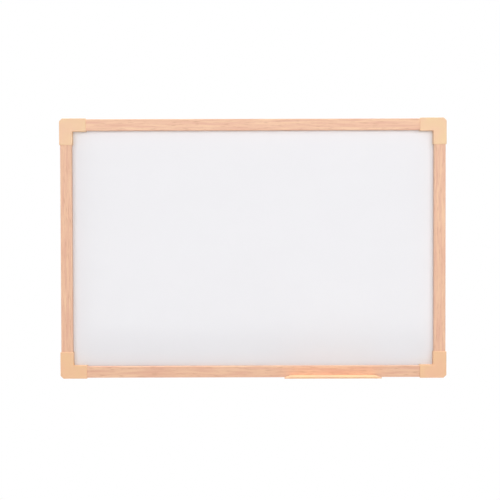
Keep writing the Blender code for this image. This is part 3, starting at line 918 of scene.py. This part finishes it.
# %% The tray in one skin
TRAY_FROM_BOARD_END = 0.1044

tray_x = BOARD_WIDTH / 2 - TRAY_FROM_BOARD_END - TIP_REACH - shelf_half
tray_mesh = moved(cut(shelf, [*clips, *ends], "UNION"), 0, (tray_x, RAIL_FRONT_Y, -outer_z))
tray = shown(tray_mesh, "pen_tray_moulded", cream_plastic)
stand_in(tray, "pen_tray")

# %% [markdown]
# ## The floor and the white surroundings
#
# The board's middle hangs 0.9 m above a plain pale floor. The floor is a disc that keeps the
# board's soft shadow near its middle and fades to pure white further out, where the camera or a
# mirror sees it. The world is white to them too, and softer as a light.

# %% Floor and world
FLOOR_Z, FLOOR_RADIUS, FLOOR_THICK = -0.9, 6.0, 0.002
FADE_FROM, FADE_TO = 0.35, 0.9
AMBIENT, AMBIENT_COLOUR, WHITE = 0.395, (1.0, 0.985, 0.975, 1.0), (1.0, 1.0, 1.0, 1.0)


def camera_and_mirrors(tree):
    """1 for rays from the camera and for reflected or refracted ones, else 0."""
    path = node(tree, "LightPath").outputs
    sockets = {0: path["Is Camera Ray"], 1: path["Is Glossy Ray"]}
    either = node(tree, "Math", sockets, operation="MAXIMUM")
    sockets = {0: either.outputs[0], 1: path["Is Transmission Ray"]}
    return node(tree, "Math", sockets, operation="MAXIMUM").outputs[0]


def pale_floor():
    """Matt grey-white that turns to white light by how far a point is from the middle: the point's
    distance from the board's middle, less the floor's depth below it, between two limits."""
    made = bpy.data.materials.new("pale_floor")
    made.use_nodes = True
    tree = made.node_tree
    tree.nodes.clear()
    grain = noise(tree, place(tree, (9, 9, 9)), 1.0, 4.0)
    colour = blended(tree, grain, linear(232, 231, 229), linear(236, 235, 234))
    matt = node(tree, "BsdfDiffuse", {"Color": colour}).outputs[0]
    white = node(tree, "Emission", {"Strength": 1.0}).outputs[0]
    point = node(tree, "TexCoord").outputs["Object"]
    away = node(tree, "VectorMath", {0: point}, operation="LENGTH")
    flat = node(tree, "Math", {0: away.outputs["Value"], 1: -FLOOR_Z}, operation="SUBTRACT")
    far = spread(tree, flat.outputs[0], FADE_FROM, FADE_TO)
    sockets = {0: far, 1: camera_and_mirrors(tree)}
    factor = node(tree, "Math", sockets, operation="MULTIPLY").outputs[0]
    mixed = node(tree, "MixShader", {0: factor, 1: matt, 2: white}).outputs[0]
    tree.links.new(mixed, node(tree, "OutputMaterial").inputs["Surface"])
    return made


def floor_disc():
    """Rings of a flat disc, from a small hub outwards, filled at the hub, 2 mm thick."""
    radius = np.concatenate([[0.02], np.geomspace(0.1, FLOOR_RADIUS, 20)])
    grid = ring(1.0, sides=96)[None] * radius[:, None, None]
    top = np.concatenate([grid, np.full(grid.shape[:2] + (1,), FLOOR_Z)], -1)
    under = top[::-1] - np.array([0, 0, FLOOR_THICK])
    return skin("floor", np.concatenate([top, under]))


floor = shown(floor_disc(), "floor", pale_floor())
world = bpy.data.worlds.new("studio")
bpy.context.scene.world = world
world.use_nodes = True
world.node_tree.nodes.clear()
soft = node(world.node_tree, "Background", {"Color": AMBIENT_COLOUR, "Strength": AMBIENT})
bare = node(world.node_tree, "Background", {"Color": WHITE, "Strength": 1.0})
sockets = {0: camera_and_mirrors(world.node_tree), 1: soft.outputs[0], 2: bare.outputs[0]}
backdrop = node(world.node_tree, "MixShader", sockets).outputs[0]
world.node_tree.links.new(backdrop, node(world.node_tree, "OutputWorld").inputs["Surface"])
print("floor", FLOOR_Z, "m below the board's middle, ambient", AMBIENT)

# %% [markdown]
# ## Lamps
#
# A gloss panel shows its lamps, so they are placed by what it mirrors. A dim one in front hangs
# so low that its lower edge is mirrored as the step from lighter to darker near the bottom of the
# writing face. Two brighter ones stand to the sides, beyond all that the panel mirrors, and give
# most of the light. A narrow strip straight above lights what faces up, such as the tray, and
# hardly grazes what faces the room. The last lamp lights the back, for views from behind.

# %% Lamps
def soft_lamp(name, at, aim, wide, high, watts):
    """A rectangular area lamp at one point, facing another. Its width runs square to the aim and to
    +Z, so a lamp that looks straight down is aimed a millimetre off the plumb line."""
    light = bpy.data.lights.new(name, "AREA")
    light.shape, light.size, light.size_y, light.energy = "RECTANGLE", wide, high, watts
    made = bpy.data.objects.new(name, light)
    bpy.context.scene.collection.objects.link(made)
    made.location = at
    towards = np.array(aim, float) - np.array(at, float)
    side = unit(np.cross(towards, (0.0, 0.0, 1.0)))
    lift = np.cross(side, unit(towards))
    axes = np.stack([side, lift, -unit(towards)], 1)
    made.matrix_world = Matrix.Translation(at) @ Matrix(axes.tolist()).to_4x4()
    made.visible_camera = False
    return made


lamps = [
    soft_lamp("front_lamp", (0.08, -2.4, 0.355), (0.08, 0, 0.355), 1.54, 1.49, 13.3),
    soft_lamp("left_lamp", (-1.55, -2.4, 1.15), (-1.55, 0, 1.15), 1.1, 1.6, 19.2),
    soft_lamp("right_lamp", (1.65, -2.4, 1.15), (1.65, 0, 1.15), 1.1, 1.6, 23.4),
    soft_lamp("overhead_lamp", (0.0, -0.04, 1.8), (0, -0.039, 0), 1.6, 0.05, 36.0),
    soft_lamp("back_lamp", (0.0, 2.4, 1.0), (0, 0, 0.2), 2.0, 1.6, 30.0),
]
for lamp in lamps:
    print(lamp.name, lamp.data.energy, "W")

# %% [markdown]
# ## The camera
#
# The board is seen almost square on, from 1.5 m, with the camera a little above its middle and
# tipped down by about one degree, which makes the lower edge a touch shorter than the upper one.

# %% Camera
CAMERA_AWAY, LENS = 1.5, 68.26
CAMERA_X, CAMERA_Z = -0.0050, 0.0255
CAMERA_DIP, CAMERA_ROLL = math.radians(1.07), math.radians(-0.149)


def photo_camera():
    """Right, up and back axes from the dip and the roll, as the columns of a matrix."""
    ahead = np.array([0, math.cos(CAMERA_DIP), -math.sin(CAMERA_DIP)])
    level = np.array([1.0, 0.0, 0.0])
    above = np.cross(level, ahead)
    right = level * math.cos(CAMERA_ROLL) + above * math.sin(CAMERA_ROLL)
    up = above * math.cos(CAMERA_ROLL) - level * math.sin(CAMERA_ROLL)
    data = bpy.data.cameras.new("camera")
    data.lens, data.sensor_width, data.clip_end = LENS, 36.0, 50.0
    made = bpy.data.objects.new("camera", data)
    bpy.context.scene.collection.objects.link(made)
    axes = np.stack([right, up, -ahead], 1)
    at = (CAMERA_X, CAP_FRONT_Y + CAP_ROUND - CAMERA_AWAY, CAMERA_Z)
    made.matrix_world = Matrix.Translation(at) @ Matrix(axes.tolist()).to_4x4()
    return made


bpy.context.scene.camera = photo_camera()
bpy.context.scene.view_settings.view_transform = "Standard"
print("camera", CAMERA_AWAY, "m away, lens", LENS, "mm")
